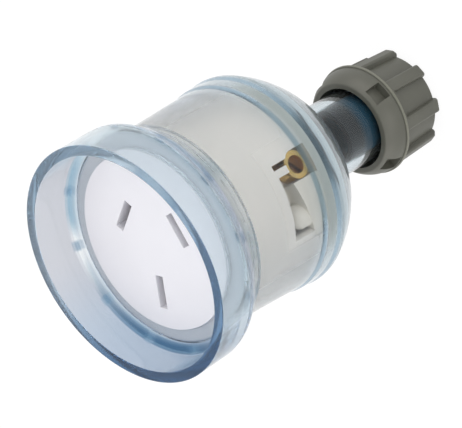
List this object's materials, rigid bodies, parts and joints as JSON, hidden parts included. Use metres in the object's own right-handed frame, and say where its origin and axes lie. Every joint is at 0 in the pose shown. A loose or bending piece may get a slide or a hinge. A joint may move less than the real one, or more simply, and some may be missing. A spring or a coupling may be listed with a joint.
{
  "type": "extension socket",
  "caption": "Clear round cord-end power socket: a cup-shaped shroud around a white slotted face, a see-through domed body showing brass terminals, and a ribbed grey cord-grip nut.",
  "frame": {"origin": "centre of the end face of the cord-grip nut, on which the part stands", "axes": "+Z along the axis from the nut towards the socket's face, -Y towards the earth slot, +X towards the neutral slot's side"},
  "size_m": [0.0484, 0.0484, 0.0798],
  "materials": {
    "clear_shroud": "clear, soft, slightly blue",
    "clear_cover": "clear, polished",
    "white_moulding": "moulded satin white",
    "brass_strip": "stamped and folded",
    "turned_brass": "turned",
    "screw_brass": "dulled",
    "grey_moulding": "moulded satin warm grey",
    "dark_moulding": "moulded satin blue-black"
  },
  "bodies": {
    "rear_cover": {"rear_cover": "clear_cover"},
    "front": {"shroud": "clear_shroud", "socket_insert": "white_moulding", "terminal_retainer": "white_moulding", "active_contact": "brass_strip", "neutral_contact": "brass_strip", "earth_contact": "brass_strip", "active_terminal": "turned_brass", "neutral_terminal": "turned_brass", "earth_terminal": "turned_brass", "active_screw": "screw_brass", "neutral_screw": "screw_brass", "earth_screw": "screw_brass"},
    "grip_collet": {"grip_collet": "dark_moulding"},
    "cord_nut": {"cord_nut": "grey_moulding"}
  },
  "joints": [
    {"name": "front_draw", "type": "slide", "parent": "rear_cover", "child": "front", "axis": [0, 0, 1], "range_m": [0, 0.03]},
    {"name": "collet_draw", "type": "slide", "parent": "rear_cover", "child": "grip_collet", "axis": [0, 0, -1], "range_m": [0, 0.0051]},
    {"name": "nut_turn", "type": "hinge", "parent": "grip_collet", "child": "cord_nut", "pos_m": [0, 0, 0], "axis": [0, 0, -1], "range_deg": [0, 900]}
  ],
  "couplings": [
    {"joint": "collet_draw", "follows": "nut_turn", "m_per_rad": 0.00031831}
  ]
}
